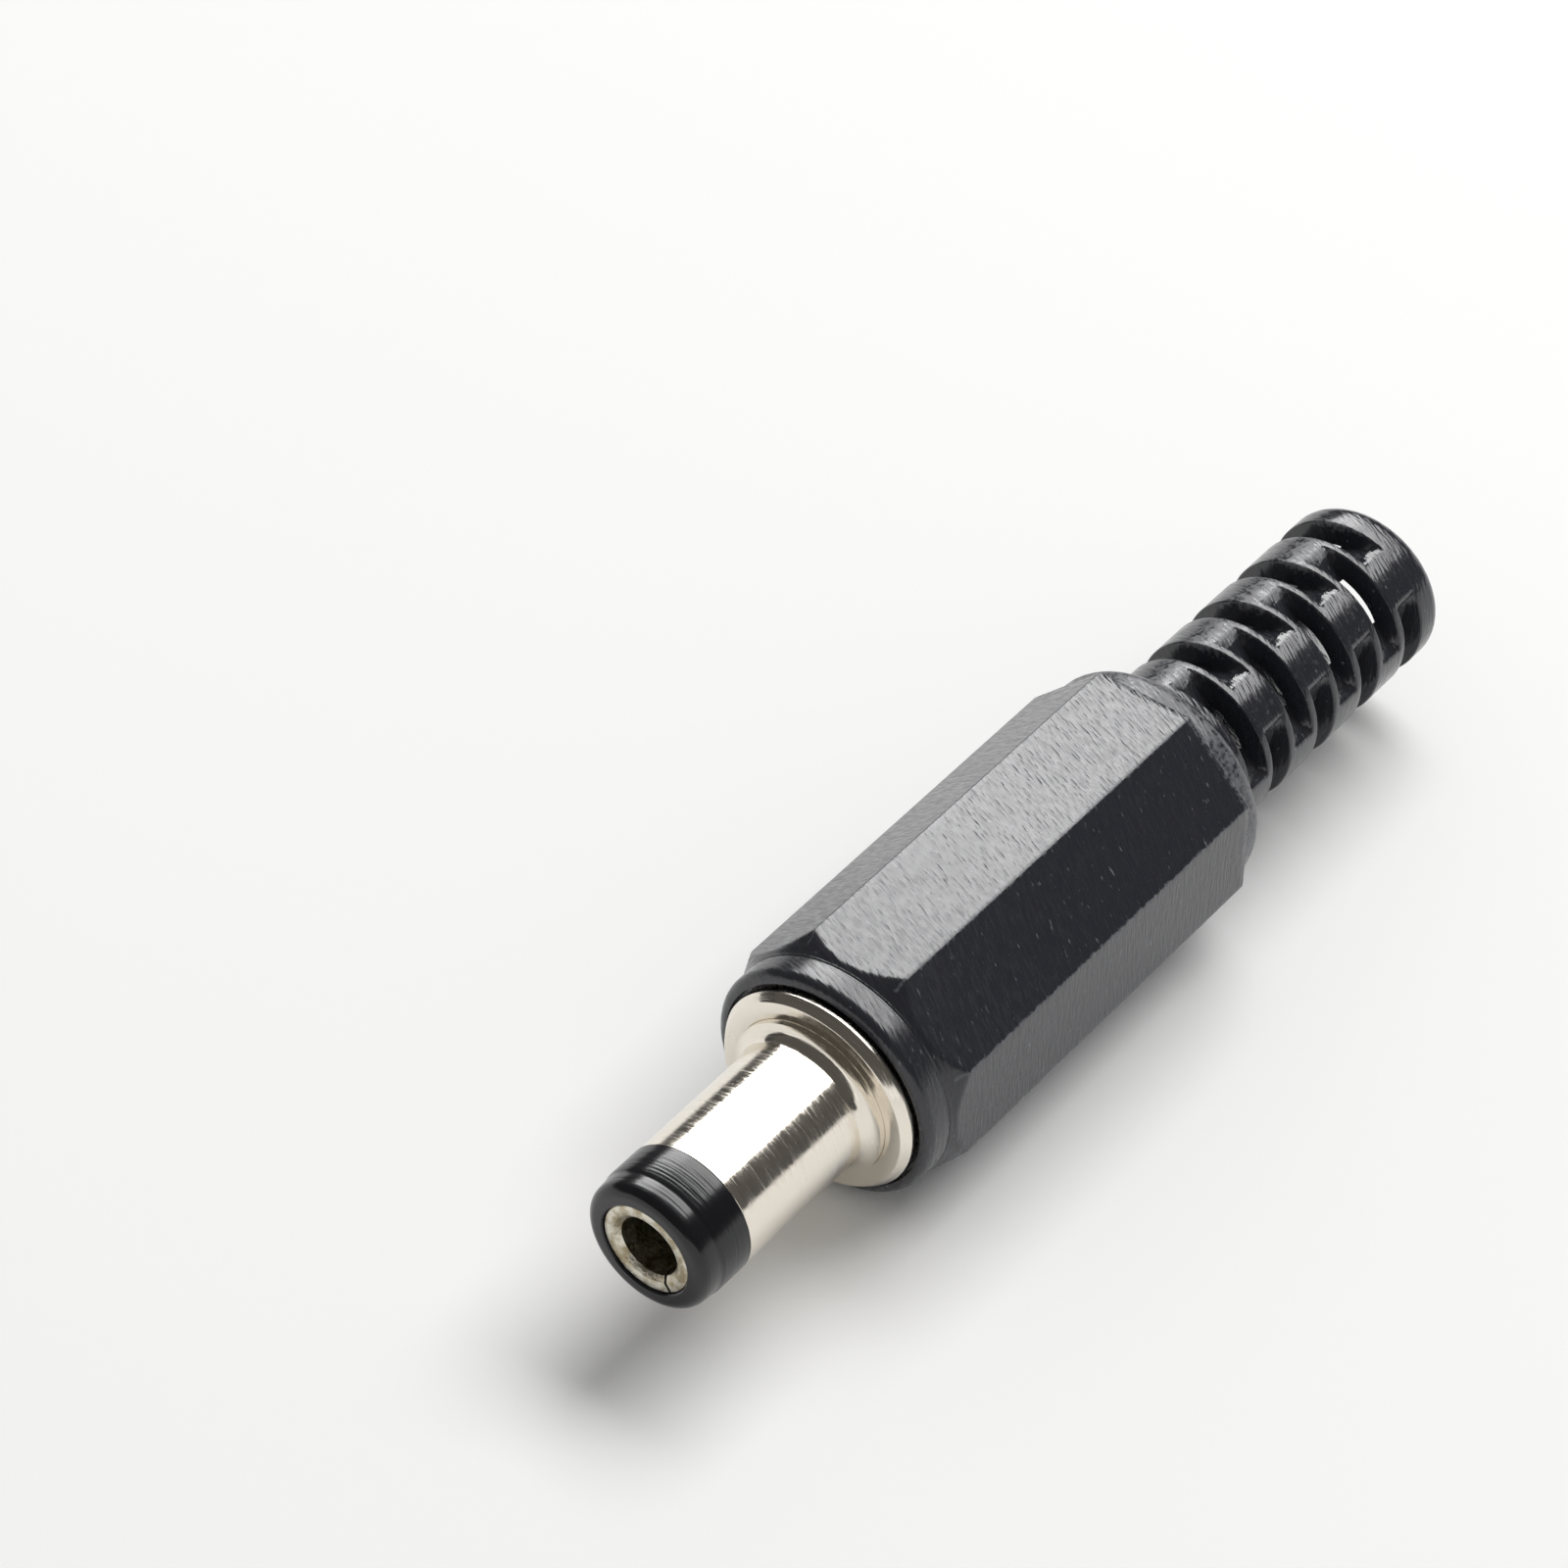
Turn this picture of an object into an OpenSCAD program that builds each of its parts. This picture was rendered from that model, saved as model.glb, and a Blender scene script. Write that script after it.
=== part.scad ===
// Straight DC barrel plug for a cable: a turned metal insert in an octagonal screw-on cover
// whose slotted tail is the strain relief. Millimetres. The plug's axis is X, the tip points
// to +X, and X = 0 is the collar's front face, which stops against the jack.

/* [Barrel] */
// Length of the shaft, from the collar's front face to the tip
shaft_len = 9.5; // [8.5:0.1:14]
// Outer diameter of the metal barrel
barrel_d = 5.5; // [5.3:0.05:5.7]
// Bore of the sleeve, which holds the insulator's tube
sleeve_bore_d = 4.5; // [4.35:0.05:4.7]
// Diameter of the low hub at the foot of the barrel
hub_d = 6.6; // [6.2:0.1:7.2]
// Height of the hub in front of the collar
hub_h = 0.25; // [0.1:0.05:0.5]

/* [Collar and shank] */
// Outer diameter of the collar
collar_d = 8.5; // [8.2:0.05:8.8]
// Thickness of the collar
collar_t = 0.9; // [0.6:0.05:1.4]
// Width of the bevel on the collar's front edge, across its face
collar_bevel_r = 0.25; // [0.1:0.05:0.4]
// Depth of that bevel along the axis
collar_bevel_x = 0.35; // [0.15:0.05:0.5]
// Outer diameter of the threaded shank, over the crests
shank_d = 7.8; // [7.4:0.05:7.9]
// Length of the shank behind the collar
shank_len = 6.1; // [4.5:0.1:8]
// Diameter of the run-out groove between collar and thread
runout_d = 7.0; // [6.6:0.05:7.2]
// Width of the run-out groove
runout_w = 0.6; // [0.4:0.05:1]
// Bevel at the rear end of the shank
shank_bevel = 0.25; // [0.1:0.05:0.4]

/* [Tip insulator] */
// Length of the ring in front of the sleeve
ring_len = 2.5; // [1.5:0.1:3.5]
// How far the ring stands past the barrel all round
ring_lip = 0.02; // [0:0.01:0.1]
// Radius of the ring's front edge
ring_round = 0.45; // [0.2:0.05:0.6]

/* [Centre contact] */
// Diameter of the socket for the jack's centre pin
pin_socket_d = 2.5; // [2.05:0.05:2.6]
// Outer diameter of the contact tube
contact_d = 3.74; // [3.4:0.02:3.9]
// Depth of the socket from the contact's front face
socket_depth = 12.4; // [10:0.1:13]
// How far the contact sits behind the tip's face
contact_recess = 0.08; // [0:0.02:0.3]
// Lead-in at the socket's mouth
socket_lead = 0.2; // [0.1:0.05:0.35]
// Width of the spring slit in the tube
slit_w = 0.2; // [0.1:0.05:0.4]
// Length of the spring slit from the front face
slit_len = 6; // [3:0.5:9]
// Direction of the slit, from +Y towards +Z
slit_turn = -54; // [-180:1:180]
// Diameter of the rear stub that carries the centre lug
stub_d = 1.8; // [1.4:0.05:2.2]
// Height of the stub's riveted head behind the lug
rivet_h = 0.3; // [0.2:0.05:0.5]
// How far the riveted head stands past the stub all round
rivet_lip = 0.35; // [0.2:0.05:0.5]

/* [Rear bush] */
// Diameter of the seat turned in the shank for the bush
bush_seat_d = 5.8; // [5.4:0.05:6.2]
// Depth of that seat
bush_seat_depth = 1.8; // [1.2:0.1:2.6]
// How far the bush stands out behind the shank
bush_proud = 0.6; // [0.4:0.05:1.2]

/* [Solder lugs] */
// Thickness of the sheet metal
sheet_t = 0.4; // [0.3:0.05:0.5]
// Width of the ground lug's arm
arm_w = 2.6; // [2:0.1:3]
// Diameter of the solder hole in the arm
arm_hole_d = 1.2; // [0.8:0.1:1.5]
// Length of the cable clamp
clamp_len = 4; // [3:0.1:5]
// Inner diameter of the open cable clamp
clamp_d = 4.4; // [3.6:0.1:4.8]
// Height of the clamp's upright ears above its middle
ear_h = 1.6; // [0.8:0.1:2]
// Width of the centre lug
tab_w = 2; // [1.6:0.1:2.4]
// Diameter of the centre lug's eye, round the contact's stub
eye_d = 3.2; // [2.8:0.1:3.6]
// Length of the centre lug's arm
tab_len = 4; // [3:0.1:5]
// Height of the centre lug's arm above the riveted head
tab_rise = 0.1; // [0.05:0.05:0.5]
// Diameter of the solder hole in the centre lug
tab_hole_d = 0.9; // [0.6:0.1:1.1]

/* [Cover] */
// Width of the grip across its flats
grip_af = 9.9; // [9.6:0.1:11]
// Length of the octagonal grip
grip_len = 18.4; // [15:0.1:24]
// How far the round nose lies below the grip's flats
nose_step = 0.1; // [0.05:0.05:0.25]
// Length of the round nose
nose_len = 1.3; // [0.8:0.1:2]
// Radius of the nose's front edge
nose_round = 0.4; // [0.2:0.05:0.5]
// How far the nose's front face lies behind the collar's face
nose_setback = 0.6; // [0.4:0.05:0.75]
// Angle of the bevel on the grip's front corners, to the axis
corner_bevel = 30; // [20:1:45]
// How far the threaded bore runs on behind the shank
thread_spare = 1.3; // [0.5:0.1:2]
// Bore of the hollow behind the thread
hollow_d = 7.6; // [7.5:0.05:7.7]
// Wall left behind the hollow at the grip's rear end
rear_wall = 2.9; // [2:0.1:4]
// Length of the taper from the hollow to the cable bore
taper_len = 1; // [0.5:0.1:1.6]

/* [Rear shoulder] */
// How far the round shoulder lies below the grip's flats
shoulder_step = 0.1; // [0.05:0.05:0.3]
// Length of the shoulder
shoulder_len = 1.2; // [1:0.05:2]
// Radius of the shoulder's rear edge
shoulder_round = 0.6; // [0.3:0.05:0.8]
// Radius of the fillet between shoulder and tail
tail_fillet = 0.6; // [0.3:0.05:0.7]

/* [Strain relief] */
// Outer diameter of the tail
tail_d = 7; // [6.6:0.1:7.4]
// Bore of the tail, which the cable passes through
cable_bore_d = 5.2; // [4.8:0.1:5.6]
// Radius of the tail's rear edge
tail_round = 0.6; // [0.3:0.05:0.8]
// Number of slots in each row
slot_count = 4; // [3:1:5]
// Distance between the slots of one row
slot_pitch = 3.04; // [2.8:0.02:3.4]
// Width of a slot along the tail
slot_w = 1; // [0.7:0.05:1.2]
// Middle of the first slot behind the shoulder's face
slot_setback = 1.75; // [1.5:0.05:2.2]
// Height of the shallow slots' floor above the axis
shallow_floor = 2.3; // [2.1:0.05:2.45]
// Height of the deep slots' floor above the axis
deep_floor = 1.02; // [0.8:0.02:1.6]
// Direction of the first row of shallow slots, from +Y towards +Z
slot_turn = 50; // [30:1:60]
// Length of the whole ring at the tail's end
end_ring = 1.5; // [1.2:0.1:2.5]

/* [Fits] */
// Radial gap between turned pieces that are pressed together
seat_gap = 0.03; // [0.01:0.01:0.05]
// Radial gap between the shank's thread and the cover
thread_gap = 0.05; // [0.03:0.01:0.08]
// Gap between the collar's back and its seat in the cover
collar_gap = 0.05; // [0.02:0.01:0.1]
// Radial gap between the collar's rim and its recess in the cover
recess_gap = 0.15; // [0.1:0.01:0.2]
// Gap between the ground lug's arm and the cover's hollow
lug_gap = 0.15; // [0.05:0.05:0.3]
// Gap between the cable clamp and the hollow's rear end
lug_end_gap = 0.8; // [0.3:0.1:2]

/* [Hidden] */
$fn = 96;
arc_steps = 8;
overcut = 1;
octagon_turn = 360 / 16;
flats = 8;

// stations along the axis, from tip to tail
tip_x = shaft_len;
contact_front_x = tip_x - contact_recess;
sleeve_front_x = tip_x - ring_len;
collar_back_x = -collar_t;
shank_rear_x = collar_back_x - shank_len;
bush_front_x = shank_rear_x + bush_seat_depth;
bush_rear_x = shank_rear_x - bush_proud;
tab_rear_x = bush_rear_x - sheet_t;
nose_front_x = -nose_setback;
recess_floor_x = collar_back_x - collar_gap;
grip_front_x = nose_front_x - nose_len;
grip_rear_x = grip_front_x - grip_len;
shoulder_rear_x = grip_rear_x - shoulder_len;
thread_rear_x = shank_rear_x - thread_spare;
hollow_rear_x = grip_rear_x + rear_wall;
clamp_rear_x = hollow_rear_x + lug_end_gap;
clamp_front_x = clamp_rear_x + clamp_len;
first_slot_x = shoulder_rear_x - slot_setback;
tail_rear_x = first_slot_x - (slot_count - 0.5) * slot_pitch - slot_w / 2 - end_ring;

// radii that several pieces share
barrel_r = barrel_d / 2;
contact_r = contact_d / 2;
foot_round = (hub_d - barrel_d) / 2;
cable_r = cable_bore_d / 2;
nose_r = grip_af / 2 - nose_step;
shoulder_r = grip_af / 2 - shoulder_step;
recess_r = collar_d / 2 + recess_gap;
rivet_r = stub_d / 2 + rivet_lip;
arm_low_z = -sqrt(pow(hollow_d / 2 - lug_gap, 2) - pow(arm_w / 2, 2));
arm_floor_z = arm_low_z + sheet_t;
clamp_mid_z = arm_floor_z + clamp_d / 2;

// points of an arc in the profile plane, written as [radius, station]
function arc(centre, r, from, to) =
    [for (i = [0:arc_steps]) let (a = from + (to - from) * i / arc_steps)
        centre + r * [cos(a), sin(a)]];

// solid of revolution about the plug's axis
module turned(points) {
    rotate([0, 90, 0]) rotate_extrude() polygon(points);
}

// plain round bar or bore between two stations
module round_bar(d, x_low, x_high) {
    translate([x_low, 0, 0]) rotate([0, 90, 0]) cylinder(d = d, h = x_high - x_low);
}

// octagonal grip, lying on a flat, with its front corners bevelled like a nut's
module grip() {
    corner_r = grip_af / 2 / cos(octagon_turn);
    bevel_len = (corner_r + overcut - nose_r) / tan(corner_bevel);
    intersection() {
        translate([grip_rear_x, 0, 0]) rotate([0, 90, 0])
            linear_extrude(grip_len) rotate(octagon_turn) circle(r = corner_r, $fn = flats);
        turned([
            [0, grip_rear_x - overcut],
            [corner_r + overcut, grip_rear_x - overcut],
            [corner_r + overcut, grip_front_x - bevel_len],
            [nose_r, grip_front_x],
            [0, grip_front_x]
        ]);
    }
}

// everything round on the cover: nose, core, rear shoulder and tail
module cover_core() {
    tail_r = tail_d / 2;
    mid_x = (grip_front_x + grip_rear_x) / 2;
    turned(concat(
        [[0, nose_front_x]],
        arc([nose_r - nose_round, nose_front_x - nose_round], nose_round, 90, 0),
        [[nose_r, mid_x], [shoulder_r, mid_x]],
        arc([shoulder_r - shoulder_round, shoulder_rear_x + shoulder_round],
            shoulder_round, 0, -90),
        arc([tail_r + tail_fillet, shoulder_rear_x - tail_fillet], tail_fillet, 90, 180),
        arc([tail_r - tail_round, tail_rear_x + tail_round], tail_round, 0, -90),
        [[0, tail_rear_x]]
    ));
}

// recess for the collar, threaded bore, hollow, taper and cable bore in one
module cover_hollow() {
    thread_r = shank_d / 2 + thread_gap;
    turned([
        [0, nose_front_x + overcut],
        [recess_r, nose_front_x + overcut],
        [recess_r, recess_floor_x],
        [thread_r, recess_floor_x],
        [thread_r, thread_rear_x],
        [hollow_d / 2, thread_rear_x],
        [hollow_d / 2, hollow_rear_x],
        [cable_r, hollow_rear_x - taper_len],
        [cable_r, tail_rear_x - overcut],
        [0, tail_rear_x - overcut]
    ]);
}

// one slot with a flat floor, cut from the side that turn points to
module slot(x, floor_z, turn) {
    rotate([turn - 90, 0, 0]) translate([x - slot_w / 2, -tail_d, floor_z])
        cube([slot_w, 2 * tail_d, tail_d]);
}

// rows of shallow and deep slots on opposite sides, half a pitch apart
module strain_relief_slots() {
    for (i = [0:slot_count - 1], side = [0, 180]) {
        slot(first_slot_x - i * slot_pitch, shallow_floor, slot_turn + side);
        slot(first_slot_x - (i + 0.5) * slot_pitch, deep_floor, slot_turn + 90 + side);
    }
}

// octagonal screw-on cover and its slotted strain relief, one moulding
module cover() {
    color("#2b2b30") difference() {
        union() {
            grip();
            cover_core();
        }
        cover_hollow();
        strain_relief_slots();
    }
}

// turned and plated sleeve: barrel, collar and threaded shank
module barrel_sleeve() {
    collar_r = collar_d / 2;
    shank_r = shank_d / 2;
    bore_r = sleeve_bore_d / 2;
    seat_r = bush_seat_d / 2;
    color("#d9d6cf") turned(concat(
        [[bore_r, sleeve_front_x], [barrel_r, sleeve_front_x]],
        arc([hub_d / 2, hub_h + foot_round], foot_round, 180, 270),
        [
            [hub_d / 2, 0],
            [collar_r - collar_bevel_r, 0],
            [collar_r, -collar_bevel_x],
            [collar_r, collar_back_x],
            [runout_d / 2, collar_back_x],
            [runout_d / 2, collar_back_x - runout_w],
            [shank_r, collar_back_x - runout_w],
            [shank_r, shank_rear_x + shank_bevel],
            [shank_r - shank_bevel, shank_rear_x],
            [seat_r, shank_rear_x],
            [seat_r, bush_front_x],
            [bore_r, bush_front_x]
        ]
    ));
}

// black ring at the tip with the tube that lines the sleeve
module tip_insulator() {
    ring_r = barrel_r + ring_lip;
    tube_r = sleeve_bore_d / 2 - seat_gap;
    hole_r = contact_r + seat_gap;
    color("#232326") turned(concat(
        [[hole_r, tip_x]],
        arc([ring_r - ring_round, tip_x - ring_round], ring_round, 90, 0),
        [
            [ring_r, sleeve_front_x],
            [tube_r, sleeve_front_x],
            [tube_r, bush_front_x],
            [hole_r, bush_front_x]
        ]
    ));
}

// turned tube that grips the jack's pin, with its spring slit and riveted rear stub
module centre_contact() {
    socket_r = pin_socket_d / 2;
    socket_floor_x = contact_front_x - socket_depth;
    stub_r = stub_d / 2;
    color("#cfc8b8") difference() {
        turned([
            [0, socket_floor_x],
            [socket_r, socket_floor_x],
            [socket_r, contact_front_x - socket_lead],
            [socket_r + socket_lead, contact_front_x],
            [contact_r, contact_front_x],
            [contact_r, bush_front_x],
            [stub_r, bush_front_x],
            [stub_r, tab_rear_x],
            [rivet_r, tab_rear_x],
            [stub_r, tab_rear_x - rivet_h],
            [0, tab_rear_x - rivet_h]
        ]);
        rotate([slit_turn, 0, 0]) translate([contact_front_x - slit_len, 0, -slit_w / 2])
            cube([slit_len + overcut, contact_d, slit_w]);
    }
}

// insulating bush that closes the sleeve and centres the contact's stub
module rear_bush() {
    color("#d8d2c4") difference() {
        round_bar(bush_seat_d - 2 * seat_gap, bush_rear_x, bush_front_x);
        round_bar(stub_d + 2 * seat_gap, bush_rear_x - overcut, bush_front_x + overcut);
    }
}

// stamped ground lug: washer on the shank's rear face, arm, and open cable clamp
module ground_lug() {
    outer_d = clamp_d + 2 * sheet_t;
    color("#cfccc4") {
        difference() {
            union() {
                round_bar(-2 * arm_low_z, shank_rear_x - sheet_t, shank_rear_x);
                translate([clamp_rear_x, -arm_w / 2, arm_low_z])
                    cube([shank_rear_x - clamp_rear_x, arm_w, sheet_t]);
            }
            round_bar(bush_seat_d, shank_rear_x - sheet_t - overcut, shank_rear_x + overcut);
            translate([(shank_rear_x + clamp_front_x) / 2, 0, arm_low_z - overcut])
                cylinder(d = arm_hole_d, h = sheet_t + 2 * overcut);
            translate([0, 0, clamp_mid_z])
                round_bar(clamp_d, clamp_rear_x - overcut, clamp_front_x);
        }
        translate([clamp_rear_x, 0, clamp_mid_z]) rotate([0, 90, 0]) rotate(90)
            linear_extrude(clamp_len) difference() {
                union() {
                    circle(d = outer_d);
                    translate([-outer_d / 2, 0]) square([outer_d, ear_h]);
                }
                circle(d = clamp_d);
                translate([-clamp_d / 2, 0]) square([clamp_d, outer_d]);
                translate([-outer_d, ear_h]) square([2 * outer_d, outer_d]);
            }
    }
}

// stamped centre lug: eye on the contact's stub and a bent solder arm
module centre_lug() {
    arm_z = rivet_r + tab_rise;
    color("#cfccc4") difference() {
        union() {
            round_bar(eye_d, tab_rear_x, bush_rear_x);
            translate([tab_rear_x, -tab_w / 2, 0])
                cube([sheet_t, tab_w, arm_z + sheet_t]);
            translate([tab_rear_x - tab_len, -tab_w / 2, arm_z])
                cube([tab_len + sheet_t, tab_w, sheet_t]);
        }
        round_bar(stub_d + 2 * seat_gap, tab_rear_x - overcut, bush_rear_x + overcut);
        translate([tab_rear_x - tab_len + tab_w / 2, 0, arm_z - overcut])
            cylinder(d = tab_hole_d, h = sheet_t + 2 * overcut);
    }
}

cover();
barrel_sleeve();
tip_insulator();
centre_contact();
rear_bush();
ground_lug();
centre_lug();
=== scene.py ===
"""Looks of a straight DC barrel plug: a nickel-plated insert in a black moulded screw-on cover.

The plug's lengths are millimetres in the CAD's frame: its axis is X, the tip points to +X, and
X = 0 is the collar's front face. MM turns them to metres where a mesh is made. Turns about the
axis go from +Y towards +Z. The stage's own lengths, at the end, are metres.
"""

import math

import bmesh
import bpy
import numpy as np
from mathutils import Matrix, Vector


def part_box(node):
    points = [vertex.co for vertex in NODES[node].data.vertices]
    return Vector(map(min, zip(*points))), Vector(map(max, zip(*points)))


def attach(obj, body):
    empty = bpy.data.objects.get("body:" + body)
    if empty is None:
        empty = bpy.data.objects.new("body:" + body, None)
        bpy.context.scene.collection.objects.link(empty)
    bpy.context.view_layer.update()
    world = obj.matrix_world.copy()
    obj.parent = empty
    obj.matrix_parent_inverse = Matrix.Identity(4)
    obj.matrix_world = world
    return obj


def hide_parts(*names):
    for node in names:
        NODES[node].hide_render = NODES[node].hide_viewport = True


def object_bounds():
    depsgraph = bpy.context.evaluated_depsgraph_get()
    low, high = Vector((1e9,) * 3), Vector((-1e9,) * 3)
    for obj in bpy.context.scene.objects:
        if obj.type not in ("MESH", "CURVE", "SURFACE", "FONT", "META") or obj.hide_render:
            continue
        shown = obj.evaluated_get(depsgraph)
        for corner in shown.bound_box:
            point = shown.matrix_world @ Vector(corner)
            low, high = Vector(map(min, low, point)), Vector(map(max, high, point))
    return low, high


MM = 0.001

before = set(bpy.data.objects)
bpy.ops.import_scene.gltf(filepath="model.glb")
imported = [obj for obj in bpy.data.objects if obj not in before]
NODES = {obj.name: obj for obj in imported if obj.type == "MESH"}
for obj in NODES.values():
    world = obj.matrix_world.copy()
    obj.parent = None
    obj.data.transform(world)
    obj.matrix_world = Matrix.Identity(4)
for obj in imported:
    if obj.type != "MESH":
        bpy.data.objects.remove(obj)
CAD_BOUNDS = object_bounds()


def box_mm(node):
    """Lowest and highest corner of a CAD node, in millimetres."""
    low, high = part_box(node)
    return low / MM, high / MM


# ---------------------------------------------------------------- sizes

COVER_LOW, COVER_HIGH = box_mm("cover")
SLEEVE_LOW, SLEEVE_HIGH = box_mm("barrel_sleeve")
RING_LOW, RING_HIGH = box_mm("tip_insulator")
CONTACT_LOW, CONTACT_HIGH = box_mm("centre_contact")
BUSH_FRONT_X = box_mm("rear_bush")[1].x

# cover
GRIP_FLAT = -COVER_LOW.z
NOSE_X = COVER_HIGH.x
TAIL_X = COVER_LOW.x
NOSE_STEP = 0.1
NOSE_LENGTH = 1.3
NOSE_ROUND = 0.4
GRIP_LENGTH = 18.4
GRIP_EDGE_ROUND = 0.14
GRIP_REAR_ROUND = 0.1
SHOULDER_STEP = 0.1
SHOULDER_LENGTH = 1.2
SHOULDER_ROUND = 0.6
TAIL_R = 3.5
TAIL_FILLET = 0.6
TAIL_ROUND = 0.6
RECESS_R = 4.4
RECESS_DEPTH = 0.35
THREAD_BORE_R = 3.95
THREAD_BORE_LENGTH = 7.35
HOLLOW_R = 3.8
HOLLOW_LENGTH = 9.1
CONE_LENGTH = 1.0
CABLE_R = 2.6
CABLE_BEVEL = 0.08

# the cone that bevels the octagon's front corners: its slope, its reach back and its soft edge
CORNER_SLOPE = math.tan(math.radians(30))
CORNER_REACH = 1.2
CORNER_BLEND = 0.05

# the fine groove behind the nose, as (distance ahead of the grip, depth)
NOSE_GROOVE = ((0.18, 0), (0.13, 0.05), (0.07, 0.05), (0.02, 0))

# slots in the tail, in degrees about the axis where they are turns; a spread is half a slot's
# angle, at the tail's surface and at the bore
SLOT_COUNT = 4
SLOT_PITCH = 3.04
SLOT_MOUTH = 1.16
SLOT_FLOOR = 0.8
SLOT_SETBACK = 1.75
SLOT_TURN = 50
SHALLOW_SPREAD = (46.5, 23.6)
DEEP_SPREAD = (73.0, 42.0)
SLOT_END_BLEND = 0.1
SLOT_END_MARGIN = 8
RIB_ROUND = 0.08
RIB_ROUND_TURNS = np.radians((0, 22.5, 45, 67.5, 90))

# where rubbing greys the cover, and where the ribs are also painted grey as a highlight: how far
# from the grip's long and rear edges and down the ribs' sides, what stays clean at both ends, and
# the side of the tail, near its top, with the most rubbing and the lightest painted highlight
LONG_EDGE_RUB = 0.25
REAR_EDGE_RUB = 0.8
RIB_RUB_AND_HIGHLIGHT = 0.3
CLEAN_GRIP_FRONT = 0.3
CLEAN_TAIL_END = 1.3
RUBBED_AND_LIT_SIDE = math.radians(102)
RUBBED_AND_LIT_SIDE_SPREAD = math.radians(22)

# sleeve
BARREL_R = 2.75
BARREL_BEVEL = 0.06
SLEEVE_BORE_R = 2.25
HUB_R = 3.3
HUB_HEIGHT = 0.25
COLLAR_R = SLEEVE_HIGH.y
COLLAR_THICKNESS = 0.9
COLLAR_BEVEL_R = 0.25
COLLAR_BEVEL_X = 0.35
RUNOUT_R = 3.5
RUNOUT_WIDTH = 0.6
SHANK_R = 3.9
SHANK_BEVEL = 0.25
BUSH_SEAT_R = 2.9
BUSH_SEAT_DEPTH = 1.8

# small rounds where the sleeve's faces meet: at the hub's foot, on the collar and in the runout
FOOT_EDGE = 0.03
FACE_EDGE = 0.08
COLLAR_EDGE = 0.06
RUNOUT_EDGE = 0.05

# tip: the ring with its tube, and the contact with its socket, slit, mouth and rear stub
RING_LENGTH = 2.5
RING_ROUND = 0.45
RING_TAPER = 0.08
RING_BEVEL = 0.05
TUBE_R = 2.22
CONTACT_R = 1.87
SOCKET_R = 1.25
SOCKET_DEPTH = 12.4
SOCKET_LEAD = 0.2
SLIT_WIDTH = 0.14
SLIT_LENGTH = 6.0
SLIT_TURN = -54
MOUTH_LIP = 0.02
MOUTH_EDGE = 0.05
MOUTH_EDGE_BOW = 0.015
STUB_R = 0.9
RIVET_R = 1.25
RIVET_HEIGHT = 0.3
SEAT_GAP = 0.03

# a tool line round the ring and the crown of the rivet, as (distance back, depth)
TOOL_LINE = ((0.85, 0.05), (0.93, 0.06), (1.02, 0.03), (1.12, 0))
RIVET_CROWN = ((0.12, 0.03), (0.24, 0.25))

# thread; the ridges in the bore are lower than the shank's grooves are deep, by the ease
THREAD_PITCH = 0.75
THREAD_DEPTH = 0.3
THREAD_EASE = 0.02
THREAD_FRONT_X = -COLLAR_THICKNESS - RUNOUT_WIDTH

# meshes: how many columns go round, how many rows a turn of thread takes, and the columns'
# spacing on the cover, in degrees
TURNED_COLUMNS = 192
CONTACT_COLUMNS = 144
SHANK_ROWS_PER_TURN = 12
BORE_ROWS_PER_TURN = 10
COVER_COLUMN_STEP = 2.0
COVER_COLUMN_GAP = 0.3
ROUND_STEPS = 3

# tiny lengths: points this close are welded, edges this short go, a point this close to a
# wall's radius is on it, and a solid end stops this far off the axis for the weld to close
WELD = 1e-4
SLIVER = 1e-5
WALL_TOLERANCE = 0.005
ON_AXIS = 0.0005


# ---------------------------------------------------------------- colours and nodes

def srgb(code):
    """The linear colour, with alpha, of an sRGB hex code such as 'a0b1c2'."""
    channels = [int(code[i:i + 2], 16) / 255 for i in (0, 2, 4)]
    linear = [c / 12.92 if c <= 0.04045 else ((c + 0.055) / 1.055) ** 2.4 for c in channels]
    return (*linear, 1.0)


def add(tree, kind, links=None, **settings):
    """Adds a node, with its settings, and its inputs as values or as sockets to link."""
    node = tree.nodes.new(kind)
    for key, value in settings.items():
        setattr(node, key, value)
    for key, value in (links or {}).items():
        if isinstance(value, bpy.types.NodeSocket):
            tree.links.new(value, node.inputs[key])
        else:
            node.inputs[key].default_value = value
    return node


def new_material(name, **shader):
    """A material with one Principled shader. Returns the material, its tree and the shader."""
    material = bpy.data.materials.new(name)
    material.use_nodes = True
    tree = material.node_tree
    principled = tree.nodes["Principled BSDF"]
    for key, value in shader.items():
        principled.inputs[key.replace("_", " ")].default_value = value
    return material, tree, principled


def object_coords(tree, per_mm=(1, 1, 1), turn=(0, 0, 0)):
    """Object coordinates, turned and then stretched to so many cells of a pattern per mm."""
    coords = add(tree, "ShaderNodeTexCoord").outputs["Object"]
    askew = add(tree, "ShaderNodeVectorRotate", {"Vector": coords, "Rotation": turn},
                rotation_type="EULER_XYZ")
    stretch = add(tree, "ShaderNodeVectorMath",
                  {0: askew.outputs["Vector"], 1: [cells / MM for cells in per_mm]},
                  operation="MULTIPLY")
    return stretch.outputs["Vector"]


# ---------------------------------------------------------------- materials

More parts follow.
